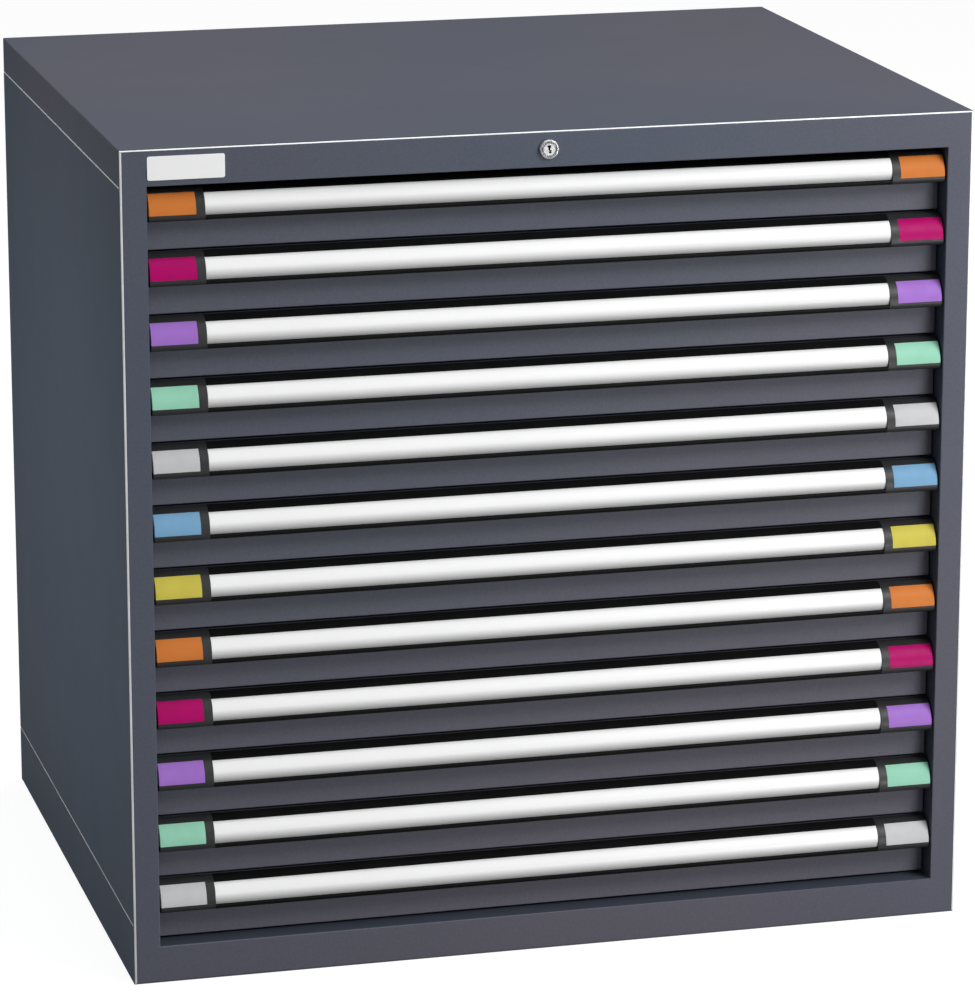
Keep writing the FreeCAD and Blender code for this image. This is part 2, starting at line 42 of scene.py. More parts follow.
# ---- Sizes in metres. +X is the user's right, +Y points into the cabinet ------------------------------
def corners(node):
    """The lowest and the highest corner of a node of the frame."""
    places = [nodes[node].matrix_world @ v.co for v in nodes[node].data.vertices]
    return [[round(pick(p[axis] for p in places), 7) for axis in range(3)] for pick in (min, max)]


# Housing
(_, front_y, _), (_, return_back, _) = corners("front_frame")
(_, frame_back, skirt_low), (half_width, back_y, height) = corners("top_cover")
_, (_, _, base_height) = corners("base_tray")
frame_edge = 2.5 * mm
skin = 1.2 * mm
opening_half = 336.5 * mm
opening_low = 32 * mm
opening_high = 670 * mm
opening_edge = 0.8 * mm
return_wall = 2 * mm
cover_edge = 1 * mm
hanger_half = 12 * mm
hanger_sheet = 3 * mm
seam = 1.6 * mm
bead_sheet = 1.1 * mm
bead_inset = 0.65 * mm
badge_left, badge_right = -336.2 * mm, -273.2 * mm
badge_low, badge_high = 674.9 * mm, 694.3 * mm
badge_sheet = 0.8 * mm

# Drawers, the same shapes at twelve heights
lowest = "drawer_12"
(_, face_y, lowest_drawer), (front_half, _, front_top) = corners(lowest + "_tray")
front_height = front_top - lowest_drawer
tray_front = face_y + 16 * mm
tray_back = tray_front + 461 * mm
tray_half = 307 * mm
tray_sheet = 1 * mm
tray_lift = 4 * mm
tray_top = 46 * mm
rim_height = 8 * mm
strip_count = 6
strip_foot = 5 * mm
strip_crown = 3 * mm
strip_height = 2 * mm
catch_half = 8 * mm
catch_sheet = 1.5 * mm
catch_reach = 15.5 * mm
catch_low, catch_floor, catch_high = 8 * mm, 18.75 * mm, 27.5 * mm
runner_low = 8 * mm
runner_high = 38 * mm
runner_reach = 13 * mm
runner_wall = 1.5 * mm

# Grip, in a section given as forward from the drawer's face and up from the grip's lower edge
(_, _, grip_low), (grip_half, _, _) = corners(lowest + "_grip")
grip_base = grip_low - lowest_drawer
rail_half = 289 * mm
hook_back = -0.8 * mm
hook_top = 25.6 * mm
hook_under = 24.7 * mm
hook_drop = 25.5 * mm
cap_centre = (-4 * mm, 5.5 * mm)
cap_radius = 21.5 * mm
cap_wall = 2.5 * mm
label_centre = (2.5 * mm, 9.83 * mm)
label_radius = 14 * mm
label_sheet = 1.2 * mm
label_top = 58
label_turn = 81
tab_width = 38.5 * mm
tab_sheet = 1.1 * mm
tab_flap = 9 * mm
tab_turn = 52
fit_gap = 0.15 * mm

# Lock
(lock_left, rosette_face, lock_low), (lock_right, _, lock_high) = corners("lock_housing")
(_, plug_face, _), _ = corners("lock_plug")
_, (_, bar_back, _) = corners("lock_bar")
lock_x = (lock_left + lock_right) / 2
lock_z = (lock_low + lock_high) / 2
rosette_radius = 8 * mm
groove_in, groove_out = 5.55 * mm, 6.6 * mm
groove_depth = 0.4 * mm
notch_count = 20
notch_half, wide_notch_half = 0.4 * mm, 1.3 * mm
barrel_radius = 6.4 * mm
barrel_back = front_y + 20 * mm
nut_radius = 10.39 * mm
nut_height = 4 * mm
plug_radius = 5.25 * mm
plug_back = front_y + 23 * mm
keyway_depth = 14 * mm
rod_radius = 3 * mm
crank_reach = 6 * mm
crank_angle = 45
crank_sheet = 3 * mm
pin_radius = 2 * mm
bar_front = bar_back - 3 * mm


# ---- Making shapes ------------------------------------------------------------------------------------
def block(bm, low, high):
    """A block between two corners."""
    low, high = Vector(low), Vector(high)
    verts = bmesh.ops.create_cube(bm, size=1)["verts"]
    bmesh.ops.scale(bm, vec=high - low, verts=verts)
    bmesh.ops.translate(bm, vec=(low + high) / 2, verts=verts)
    return verts


def rod(bm, x, z, radius, y0, y1, sides=40):
    """A round bar along Y."""
    along_y = Matrix.Rotation(math.pi / 2, 4, "X")
    verts = bmesh.ops.create_cone(bm, cap_ends=True, segments=sides, radius1=radius, radius2=radius,
                                  depth=y1 - y0, matrix=along_y)["verts"]
    bmesh.ops.translate(bm, vec=(x, (y0 + y1) / 2, z), verts=verts)
    return verts


def edges_where(bm, test):
    """The edges whose two ends both pass a test."""
    return [e for e in bm.edges if all(test(v.co) for v in e.verts)]


def near(a, b):
    """Whether two lengths are the same within a hundredth of a millimetre."""
    return abs(a - b) < 0.01 * mm


def soften(bm, edges, width, segments=3):
    """Rounds some edges and returns the new faces."""
    return bmesh.ops.bevel(bm, geom=edges, offset=width, offset_type="OFFSET", segments=segments, profile=0.5,
                           affect="EDGES", clamp_overlap=True, material=-1)["faces"]


def chain(bm, points):
    """A line of edges through a few points."""
    verts = [bm.verts.new(p) for p in points]
    return [bm.edges.new(pair) for pair in zip(verts, verts[1:])]


def pull(bm, edges, way):
    """Extrudes edges along a vector and returns the new leading edges."""
    made = bmesh.ops.extrude_edge_only(bm, edges=edges)["geom"]
    verts = [g for g in made if isinstance(g, bmesh.types.BMVert)]
    bmesh.ops.translate(bm, vec=way, verts=verts)
    return [g for g in made if isinstance(g, bmesh.types.BMEdge) and all(v in verts for v in g.verts)]


def turn(bm, edges, centre, axis, degrees, steps):
    """Spins edges round an axis and returns the last ones."""
    last = bmesh.ops.spin(bm, geom=edges, cent=centre, axis=axis, angle=math.radians(degrees), steps=steps,
                          use_merge=False)["geom_last"]
    return [g for g in last if isinstance(g, bmesh.types.BMEdge)]


def on_section(x, point):
    """A point of the grip's section at a place across the drawer."""
    return Vector((x, face_y - point[0], grip_base + point[1]))


def on_circle(centre, radius, degrees):
    """A point of a circle in the grip's section, the angle in degrees above the forward direction."""
    a = math.radians(degrees)
    return centre[0] + radius * math.cos(a), centre[1] + radius * math.sin(a)


def sweep(bm, x0, x1, start, steps):
    """Sweeps an edge along the grip's section.

    A step is a point to go straight to, or a centre, the degrees to turn down and the number of facets.
    """
    lead = chain(bm, [on_section(x0, start), on_section(x1, start)])
    for step in steps:
        if len(step) == 2:
            here = lead[0].verts[0].co
            lead = pull(bm, lead, on_section(here.x, step) - here)
        else:
            centre, degrees, facets = step
            lead = turn(bm, lead, on_section(0, centre), (1, 0, 0), degrees, facets)


def closed(bm):
    """Joins the ends of a swept section and closes the piece's two ends."""
    bmesh.ops.remove_doubles(bm, verts=bm.verts, dist=0.005 * mm)
    bmesh.ops.holes_fill(bm, edges=bm.edges, sides=0)


def shaped(bm, inside=None, sheet=0.0, centred=False, cutters=(), soft=0.0, steps=2):
    """Finishes a shape and returns its mesh.

    Faces are turned away from a point inside, a sheet gets its thickness, cutters are taken out and edges
    are rounded.
    """
    bmesh.ops.remove_doubles(bm, verts=bm.verts, dist=0.005 * mm)
    bmesh.ops.dissolve_degenerate(bm, edges=bm.edges, dist=0.002 * mm)
    bmesh.ops.recalc_face_normals(bm, faces=bm.faces)
    if inside is not None:
        inside = Vector(inside)
        out = sum(f.normal.dot(f.calc_center_median() - inside) * f.calc_area() for f in bm.faces)
        if out < 0:
            bmesh.ops.reverse_faces(bm, faces=bm.faces)
    mesh = bpy.data.meshes.new("shape")
    bm.to_mesh(mesh)
    bm.free()
    mesh.polygons.foreach_set("use_smooth", [True] * len(mesh.polygons))
    form = bpy.data.objects.new("form", mesh)
    bpy.context.scene.collection.objects.link(form)
    tools = []
    if sheet:
        wall = form.modifiers.new("wall", "SOLIDIFY")
        wall.thickness = sheet
        wall.offset = 0 if centred else -1
        wall.use_even_offset = True
    for cutter in cutters:
        cutter_mesh = shaped(cutter)
        tools.append(bpy.data.objects.new("cutter", cutter_mesh))
        bpy.context.scene.collection.objects.link(tools[-1])
        cut = form.modifiers.new("cut", "BOOLEAN")
        cut.operation = "DIFFERENCE"
        cut.solver = "EXACT"
        cut.object = tools[-1]
    if soft:
        rounding = form.modifiers.new("rounding", "BEVEL")
        rounding.width = soft
        rounding.segments = steps
        rounding.limit_method = "ANGLE"
        rounding.angle_limit = math.radians(32)
    graph = bpy.context.evaluated_depsgraph_get()
    done = bpy.data.meshes.new_from_object(form.evaluated_get(graph))
    for old in [form] + tools:
        data = old.data
        bpy.data.objects.remove(old)
        bpy.data.meshes.remove(data)
    done.polygons.foreach_set("use_smooth", [True] * len(done.polygons))
    done.set_sharp_from_angle(angle=math.radians(40))
    return done


def piece(name, mesh, body, replaced, slot, *coats, lift=0.0):
    """Makes a finished piece from a shape, on its body, in place of the nodes it stands for."""
    own = mesh.copy()
    own.name = name
    if lift:
        own.transform(Matrix.Translation((0, 0, lift)))
    for coat in coats:
        own.materials.append(coat)
    made = bpy.data.objects.new(name, own)
    bpy.context.scene.collection.objects.link(made)
    even = made.modifiers.new("even_shading", "WEIGHTED_NORMAL")
    even.keep_sharp = True
    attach(made, body)
    if replaced:
        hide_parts(*replaced)
    return made


# ---- Finishes -----------------------------------------------------------------------------------------
def feed(node, inputs):
    """Links or sets a node's inputs."""
    for key, value in inputs.items():
        if isinstance(value, bpy.types.NodeSocket):
            node.id_data.links.new(value, node.inputs[key])
        else:
            node.inputs[key].default_value = value


def node_maker(owner):
    """Empties the node tree of a material or a world, and returns the maker of its nodes."""
    owner.use_nodes = True
    owner.node_tree.nodes.clear()

    def add(kind, inputs=None, **settings):
        node = owner.node_tree.nodes.new("ShaderNode" + kind)
        for key, value in settings.items():
            setattr(node, key, value)
        feed(node, inputs or {})
        return node

    return add


def finish(name):
    """A new material. Returns it, the maker of its nodes and its shader."""
    made = bpy.data.materials.new(name)
    add = node_maker(made)
    shader = add("BsdfPrincipled")
    add("OutputMaterial", {"Surface": shader.outputs[0]})
    return made, add, shader


def placed(add, scale=(1, 1, 1)):
    """Object coordinates, scaled by axis."""
    place = add("TexCoord").outputs["Object"]
    return add("Mapping", {"Vector": place, "Scale": scale}).outputs[0]


def noise(add, place, scale, detail=3.0, roughness=0.5):
    """A cloudy value, mostly between 0.3 and 0.7."""
    inputs = {"Vector": place, "Scale": scale, "Detail": detail, "Roughness": roughness}
    return add("TexNoise", inputs).outputs["Fac"]


def between(add, value, low, high, to_low, to_high):
    """Maps a value's range onto another."""
    inputs = {"Value": value, "From Min": low, "From Max": high, "To Min": to_low, "To Max": to_high}
    return add("MapRange", inputs).outputs[0]


def blend(add, share, first, second, way="MIX"):
    """Mixes two colours."""
    mix = add("Mix", data_type="RGBA", blend_type=way)
    feed(mix, {0: share, 6: first, 7: second})
    return mix.outputs[2]


def shaded(add, tone, share):
    """A colour made darker or lighter by a share."""
    grey = add("CombineColor", {"Red": share, "Green": share, "Blue": share}).outputs[0]
    return blend(add, 1.0, tone, grey, "MULTIPLY")


def relief(add, strength, depth, rise):
    """Normals of a fine unevenness."""
    return add("Bump", {"Strength": strength, "Distance": depth, "Height": rise}).outputs[0]


def edge_share(add, radius):
    """How near a point is to an edge: 0 on the flat, rising towards 1 at a corner."""
    rounded = add("Bevel", {"Radius": radius}, samples=6).outputs[0]
    flat = add("NewGeometry").outputs["Normal"]
    facing = add("VectorMath", {0: rounded, 1: flat}, operation="DOT_PRODUCT").outputs["Value"]
    return between(add, facing, 1.0, 0.75, 0.0, 1.0)


def powder_coat(name, colour, sheen_tone, worn):
    """Satin powder coat: a soft drift towards a paler tone, partly random tone and partly painted sheen, a
    fine speckle, orange peel and rubbed edges.
    """
    made, add, shader = finish(name)
    place = placed(add)
    # Large patches drift towards the paler tone: random tone that also serves as painted sheen.
    drift_and_sheen = between(add, noise(add, place, 1.3, 1.0), 0.32, 0.68, 0.0, 1.0)
    speckle = between(add, noise(add, place, 900, 2.0), 0.3, 0.7, 0.9, 1.09)
    tone = shaded(add, blend(add, drift_and_sheen, colour, sheen_tone), speckle)
    wear = between(add, noise(add, place, 60, 4.0), 0.4, 0.6, 0.05, 0.6)
    rubbed = add("Math", {0: edge_share(add, 0.9 * mm), 1: wear}, operation="MULTIPLY").outputs[0]
    feed(shader, {
        "Base Color": blend(add, rubbed, tone, worn),
        "Roughness": between(add, noise(add, place, 11), 0.3, 0.7, 0.49, 0.54),
        "Normal": relief(add, 0.35, 0.05 * mm, noise(add, place, 620, 1.5)),
        "IOR": 1.45,
        "Specular IOR Level": 0.38,
    })
    return made


def rim_highlight_paint(name, colour):
    """Near-white paint on the frame's rounded rim: a painted highlight."""
    made, add, shader = finish(name)
    place = placed(add)
    drift_and_sheen = between(add, noise(add, place, 40), 0.3, 0.7, 0.9, 1.05)
    feed(shader, {
        "Base Color": shaded(add, colour, drift_and_sheen),
        "Roughness": between(add, noise(add, place, 90), 0.3, 0.7, 0.2, 0.34),
        "Normal": relief(add, 0.2, 0.03 * mm, noise(add, place, 700, 1.5)),
        "IOR": 1.5,
        "Coat Weight": 0.4,
        "Coat Roughness": 0.12,
    })
    return made


def zinc(name, colour, grain):
    """Zinc-plated sheet: faint spangle, drawn grain and dull patches."""
    made, add, shader = finish(name)
    place = placed(add)
    cells = add("TexVoronoi", {"Vector": place, "Scale": 170.0, "Randomness": 1.0})
    flake = add("SeparateColor", {"Color": cells.outputs["Color"]}).outputs[0]
    tone = shaded(add, colour, between(add, flake, 0, 1, 0.84, 1.06))
    dull = between(add, noise(add, place, 9, 5.0, 0.6), 0.42, 0.68, 0.0, 0.45)
    feed(shader, {
        "Base Color": blend(add, dull, tone, [0.36 * c for c in colour[:3]] + [1]),
        "Metallic": 1.0,
        "Roughness": between(add, noise(add, place, 25, 4.0), 0.3, 0.7, 0.3, 0.48),
        "Normal": relief(add, 0.25, 0.03 * mm, noise(add, placed(add, grain), 1.0)),
    })
    return made


def polished(name, colour, lathe_marks, low, high, metal=1.0):
    """Nickel or chrome plating with fine marks, which can run round the lock's axis."""
    made, add, shader = finish(name)
    place = add("TexCoord").outputs["Object"]
    if lathe_marks:
        at = add("Mapping", {"Vector": place, "Location": (-lock_x, 0, -lock_z)}).outputs[0]
        flat = add("VectorMath", {0: at, 1: (1, 0, 1)}, operation="MULTIPLY").outputs[0]
        radius = add("VectorMath", {0: flat}, operation="LENGTH").outputs["Value"]
        rings = {"W": radius, "Scale": 9000.0, "Detail": 2.0}
        marks = add("TexNoise", rings, noise_dimensions="1D").outputs["Fac"]
    else:
        marks = noise(add, place, 1500)
    haze = noise(add, place, 300, 4.0)
    dull = between(add, haze, 0.45, 0.75, 0.0, 0.5)
    feed(shader, {
        "Base Color": blend(add, dull, colour, [0.6 * c for c in colour[:3]] + [1]),
        "Metallic": metal,
        "Roughness": between(add, haze, 0.3, 0.7, low, high),
        "Normal": relief(add, 0.22, 0.02 * mm, marks),
    })
    return made


def black_profile(name, colour, worn):
    """Black coated profile with faint drawing lines along its length."""
    made, add, shader = finish(name)
    place = placed(add)
    lines = noise(add, placed(add, (3, 2200, 2200)), 1.0)
    dust = between(add, noise(add, place, 35, 5.0, 0.6), 0.45, 0.75, 0.0, 0.5)
    tone = blend(add, dust, colour, [2.4 * c for c in colour[:3]] + [1])
    rubbed = between(add, edge_share(add, 0.5 * mm), 0, 1, 0, 0.3)
    feed(shader, {
        "Base Color": blend(add, rubbed, tone, worn),
        "Roughness": between(add, lines, 0.3, 0.7, 0.42, 0.55),
        "Normal": relief(add, 0.3, 0.03 * mm, lines),
        "IOR": 1.28,
        "Specular IOR Level": 0.3,
    })
    return made


def moulded(name, colour, worn, grain, low, high, gloss=0.5):
    """Moulded plastic with a fine grain, a little unevenness and paler edges."""
    made, add, shader = finish(name)
    place = placed(add)
    tone = shaded(add, colour, between(add, noise(add, place, 55), 0.3, 0.7, 0.95, 1.04))
    rubbed = between(add, edge_share(add, 0.4 * mm), 0, 1, 0, 0.55)
    feed(shader, {
        "Base Color": blend(add, rubbed, tone, worn),
        "Roughness": between(add, noise(add, place, 120), 0.3, 0.7, low, high),
        "Normal": relief(add, 0.3, 0.04 * mm, noise(add, place, grain, 2.0)),
        "IOR": 1.46,
        "Specular IOR Level": gloss,
    })
    return made


def label_film(name, paper, handled_paper, lip_shade, foot_shade):
    """White label strip: paper fibre under a clear film, greyer where it is handled, with painted shade along
    its top and bottom edges.
    """
    made, add, shader = finish(name)
    place = placed(add)
    fibre = between(add, noise(add, place, 1400, 4.0, 0.7), 0.3, 0.7, 0.96, 1.01)
    handled = between(add, noise(add, placed(add, (7, 22, 22)), 1.0, 4.0), 0.52, 0.8, 0.0, 0.12)
    around = add("Attribute", attribute_name="around").outputs["Fac"]
    tone = blend(add, handled, shaded(add, paper, fibre), handled_paper)
    # Painted shade: a little darker along the top edge and much darker towards the lower edge, read from the
    # place around the curve.
    tone = blend(add, between(add, around, 0.0, 0.16, 0.3, 0.0), tone, lip_shade)
    tone = blend(add, between(add, around, 0.55, 1.0, 0.0, 0.72), tone, foot_shade)
    feed(shader, {
        "Base Color": tone,
        "Roughness": between(add, noise(add, place, 40), 0.3, 0.7, 0.3, 0.42),
        "Normal": relief(add, 0.15, 0.06 * mm, noise(add, place, 60, 2.0)),
        "IOR": 1.45,
        "Coat Weight": 0.1,
        "Coat Roughness": 0.2,
    })
    return made


def enamel(name, colour, cloudy, worn):
    """Enamel of the bare plate."""
    made, add, shader = finish(name)
    place = placed(add)
    cloud = between(add, noise(add, place, 70, 4.0), 0.3, 0.7, 0.0, 1.0)
    rubbed = between(add, edge_share(add, 0.4 * mm), 0, 1, 0, 0.4)
    feed(shader, {
        "Base Color": blend(add, rubbed, blend(add, cloud, colour, cloudy), worn),
        "Roughness": between(add, cloud, 0, 1, 0.3, 0.36),
        "Normal": relief(add, 0.12, 0.02 * mm, noise(add, place, 420, 2.0)),
        "IOR": 1.5,
        "Coat Weight": 0.5,
        "Coat Roughness": 0.08,
    })
    return made


def tab_plastic(name, red, green, blue):
    """Coloured plastic of the tabs, paler at its edges."""
    worn = [min(1.0, 1.15 * c + 0.03) for c in (red, green, blue)] + [1]
    return moulded("tab_" + name, (red, green, blue, 1), worn, 700, 0.36, 0.48, 0.14)


worn_slate = (0.17, 0.185, 0.21, 1)
worn_return_shaded = (0.09, 0.105, 0.13, 1)
cabinet_coat = powder_coat("cabinet_coat", (0.067, 0.084, 0.119, 1), (0.097, 0.093, 0.121, 1), worn_slate)
drawer_coat = powder_coat("drawer_coat", (0.09, 0.102, 0.136, 1), (0.122, 0.115, 0.146, 1), worn_slate)
# A slightly darker, bluer copy of the cabinet paint for the side panels and the base: painted shade.
side_shaded_coat = powder_coat("side_shaded_coat", (0.06, 0.083, 0.12, 1), (0.076, 0.093, 0.127, 1), worn_slate)
# A darker copy of the cabinet paint for the return round the opening: painted shade.
return_painted_shade = powder_coat("return_painted_shade", (0.042, 0.055, 0.08, 1), (0.05, 0.06, 0.084, 1), worn_return_shaded)
# Near-white paint on the frame's top and side rim: a painted highlight.
rim_painted_highlight = rim_highlight_paint("rim_painted_highlight", (0.9, 0.91, 0.92, 1))
# Pale grey of the seam beads: partly sealer colour, partly a painted highlight along the seams.
bead_painted_highlight = moulded("bead_painted_highlight", (0.82, 0.81, 0.79, 1), (0.88, 0.87, 0.85, 1), 900, 0.4, 0.55)
runner_zinc = zinc("runner_zinc", (0.6, 0.61, 0.62, 1), (900, 4, 900))
post_zinc = zinc("post_zinc", (0.56, 0.57, 0.58, 1), (900, 900, 4))
rivet_steel = zinc("rivet_steel", (0.5, 0.51, 0.53, 1), (600, 600, 600))
lock_nickel = polished("lock_nickel", (0.62, 0.62, 0.63, 1), True, 0.2, 0.32, 0.6)
lug_painted_shade = polished("lug_painted_shade", (0.1, 0.1, 0.1, 1), False, 0.35, 0.5, 0.3)
groove_satin = polished("groove_satin", (0.5, 0.5, 0.51, 1), False, 0.3, 0.42, 0.6)
keyway_painted_shade = polished("keyway_painted_shade", (0.004, 0.004, 0.004, 1), False, 0.6, 0.8, 0.0)
rod_steel = polished("rod_steel", (0.5, 0.5, 0.51, 1), False, 0.3, 0.45)
rail_black = black_profile("rail_black", (0.0036, 0.0036, 0.0038, 1), (0.06, 0.062, 0.064, 1))
cap_black = moulded("cap_black", (0.019, 0.02, 0.021, 1), (0.06, 0.062, 0.062, 1), 1500, 0.36, 0.5)
film = label_film("label_film", (0.95, 0.95, 0.955, 1), (0.7, 0.7, 0.69, 1), (0.25, 0.25, 0.25, 1),
                  (0.12, 0.12, 0.12, 1))
plate_enamel = enamel("plate_enamel", (0.97, 0.97, 0.965, 1), (0.955, 0.96, 0.965, 1), (0.6, 0.61, 0.62, 1))
tab_orange = tab_plastic("orange", 0.62, 0.19, 0.038)
tab_magenta = tab_plastic("magenta", 0.42, 0.0, 0.125)
tab_violet = tab_plastic("violet", 0.355, 0.164, 0.58)
tab_mint = tab_plastic("mint", 0.3, 0.63, 0.465)
tab_grey = tab_plastic("grey", 0.56, 0.565, 0.575)
tab_blue = tab_plastic("blue", 0.187, 0.377, 0.577)
tab_yellow = tab_plastic("yellow", 0.6, 0.516, 0.081)
tab_order = (tab_orange, tab_magenta, tab_violet, tab_mint, tab_grey, tab_blue, tab_yellow, tab_orange,
             tab_magenta, tab_violet, tab_mint, tab_grey)


# ---- Housing ------------------------------------------------------------------------------------------
def ring(bm, half, low, high):
    """A rectangle of edges on the frame's front."""
    places = [(-half, front_y, low), (half, front_y, low), (half, front_y, high), (-half, front_y, high)]
    edges = chain(bm, places)
    edges.append(bm.edges.new((edges[-1].verts[1], edges[0].verts[0])))
    return edges


def frame_finish(face):
    """0 for the frame's paint, 1 for the painted highlight on its rim and 2 for the return round the opening,
    painted in shade.
    """
    at = face.center
    outside = abs(at.x) > half_width - frame_edge or at.z > height - frame_edge
    on_top = abs(face.normal.z) > abs(face.normal.x)
    # The painted highlight covers only the rim's facets that turn up or sideways within these angles from the
    # front.
    shallow, steep = (0.55, 0.85) if on_top else (0.45, 0.93)
    if outside and at.y < front_y + frame_edge and shallow < -face.normal.y < steep:
        return 1
    # The return round the opening takes the darker paint: painted shade.
    if at.y > front_y + opening_edge and abs(at.x) < opening_half + return_wall:
        return 2
    return 0


def face_frame():
    """Face frame: a ring with a rounded rim, its flange to the rear and the return round the opening."""
    bm = bmesh.new()
    rim = ring(bm, half_width, 0, height)
    opening = ring(bm, opening_half, opening_low, opening_high)
    bmesh.ops.bridge_loops(bm, edges=rim + opening)
    pull(bm, rim, (0, frame_back - front_y, 0))
    pull(bm, opening, (0, return_back - front_y, 0))

    def on_rim(p):
        return near(p.y, front_y) and (near(abs(p.x), half_width) or near(p.z, 0) or near(p.z, height))

    def round_opening(p):
        margin = 0.01 * mm
        return (near(p.y, front_y) and abs(p.x) < opening_half + margin and
                opening_low - margin < p.z < opening_high + margin)

    def straight(edge):
        first, second = (v.co for v in edge.verts)
        return near(first.x, second.x) or near(first.z, second.z)

    soften(bm, [e for e in edges_where(bm, on_rim) if straight(e)], frame_edge, 6)
    soften(bm, edges_where(bm, round_opening), opening_edge, 3)
    hole = bmesh.new()
    rod(hole, lock_x, lock_z, barrel_radius + fit_gap, front_y - 5 * mm, front_y + 10 * mm)
    mesh = shaped(bm, inside=(0, 2, height / 2), sheet=return_wall, cutters=[hole])
    for face in mesh.polygons:
        face.material_index = frame_finish(face)
    return mesh


def top_cover():
    """Top cover: a plate with a folded skirt on its two sides and its back."""
    bm = bmesh.new()
    block(bm, (-half_width, frame_back, skirt_low), (half_width, back_y, height))
    gone = [f for f in bm.faces if near(f.calc_center_median().z, skirt_low) or
            near(f.calc_center_median().y, frame_back)]
    bmesh.ops.delete(bm, geom=gone, context="FACES_ONLY")
    folds = [e for e in bm.edges if len(e.link_faces) == 2]
    soften(bm, folds, cover_edge, 4)
    return shaped(bm, inside=(0, 0, skirt_low), sheet=skin)


def rod_hanger():
    """Hanger under the cover that carries the lock rod."""
    bm = bmesh.new()
    y0 = tray_back - 14 * mm
    y1 = y0 + hanger_sheet
    block(bm, (lock_x - hanger_half, y0, lock_z - 8 * mm), (lock_x + hanger_half, y1, height - skin))
    hole = bmesh.new()
    rod(hole, lock_x, lock_z, rod_radius + 0.05 * mm, y0 - 1 * mm, y1 + 1 * mm)
    return shaped(bm, cutters=[hole], soft=0.3 * mm)


def seam_bead(low):
    """Grey bead that fills the groove between a skirt and the panels, on both sides and the back; its pale
    grey is partly sealer colour and partly a painted highlight along the seam.
    """
    bm = bmesh.new()
    x, y = half_width - bead_inset, back_y - bead_inset
    path = chain(bm, [(-x, frame_back, low), (-x, y, low), (x, y, low), (x, frame_back, low)])
    pull(bm, path, (0, 0, seam - 0.1 * mm))
    return shaped(bm, inside=(0, 0, low), sheet=bead_sheet, centred=True, soft=0.2 * mm)


def badge():
    """Bare plate with rounded corners on the top rail."""
    bm = bmesh.new()
    face = front_y - badge_sheet
    block(bm, (badge_left, face, badge_low), (badge_right, front_y, badge_high))
    soften(bm, [e for e in bm.edges if abs(e.verts[0].co.y - e.verts[1].co.y) > badge_sheet / 2], 1.8 * mm, 6)
    soften(bm, edges_where(bm, lambda p: near(p.y, face)), 0.25 * mm, 3)
    return shaped(bm)


# ---- Lock ---------------------------------------------------------------------------------------------
def turned(bm, profile, sides=64):
    """Turns a profile of radius and depth about the lock's axis."""
    line = chain(bm, [(lock_x + r, y, lock_z) for r, y in profile])
    bmesh.ops.spin(bm, geom=line, cent=(lock_x, 0, lock_z), axis=(0, 1, 0), angle=2 * math.pi, steps=sides,
                   use_merge=True)


def rosette():
    """Rosette with a grooved ring crossed by small lugs, and the barrel behind it."""
    bm = bmesh.new()
    bore = plug_radius + 0.05 * mm
    face = rosette_face
    floor = face + groove_depth
    turned(bm, [
        (bore, barrel_back), (bore, face + 0.15 * mm), (bore + 0.12 * mm, face),
        (groove_in - 0.1 * mm, face), (groove_in, floor), (groove_out, floor), (groove_out + 0.15 * mm, face),
        (7.1 * mm, face), (7.6 * mm, face + 0.25 * mm), (7.92 * mm, face + 0.8 * mm),
        (rosette_radius, face + 1.4 * mm), (rosette_radius, front_y), (barrel_radius, front_y),
        (barrel_radius, barrel_back), (bore, barrel_back),
    ])
    bm.normal_update()
    for groove_face in bm.faces:
        if near(groove_face.calc_center_median().y, floor):
            groove_face.material_index = 2
    for step in range(notch_count):
        half = wide_notch_half if step % 5 == 0 else notch_half
        lug = block(bm, (-half, face + 0.1 * mm, 5.62 * mm), (half, floor + 0.1 * mm, 6.42 * mm))
        # The lugs take the near-black finish: painted shade of the dark marks in the groove.
        for lug_face in {f for v in lug for f in v.link_faces}:
            lug_face.material_index = 1
        round_axis = Matrix.Rotation(2 * math.pi * step / notch_count, 3, "Y")
        bmesh.ops.rotate(bm, verts=lug, cent=(0, 0, 0), matrix=round_axis)
        bmesh.ops.translate(bm, verts=lug, vec=(lock_x, 0, lock_z))
    return shaped(bm)


def lock_nut():
    """Hexagon nut behind the frame."""
    bm = bmesh.new()
    rod(bm, lock_x, lock_z, nut_radius, frame_back, frame_back + nut_height, 6)
    hole = bmesh.new()
    rod(hole, lock_x, lock_z, barrel_radius + fit_gap, frame_back - 1 * mm, frame_back + nut_height + 1 * mm)
    return shaped(bm, cutters=[hole], soft=0.4 * mm)


def plug():
    """Turning plug with its stepped keyway."""
    bm = bmesh.new()
    turned(bm, [(0, plug_face), (plug_radius - 0.3 * mm, plug_face), (plug_radius, plug_face + 0.3 * mm),
                (plug_radius, plug_back), (0, plug_back)])
    steps = []
    for x0, x1, z0, z1 in ((-1.6, 1.1, 1.5, 3.4), (-0.9, 0.6, -0.6, 1.6), (-0.5, 1.6, -3.2, -0.5)):
        step = bmesh.new()
        block(step, (lock_x + x0 * mm, plug_face - 1 * mm, lock_z + z0 * mm),
              (lock_x + x1 * mm, plug_face + keyway_depth, lock_z + z1 * mm))
        steps.append(step)
    mesh = shaped(bm, cutters=steps)
    for face in mesh.polygons:
        radius = math.hypot(face.center.x - lock_x, face.center.z - lock_z)
        # The keyway's inner faces take the near-black finish: painted shade.
        if radius < 4 * mm and plug_face + 0.2 * mm < face.center.y < plug_back - 1 * mm:
            face.material_index = 1
    return mesh


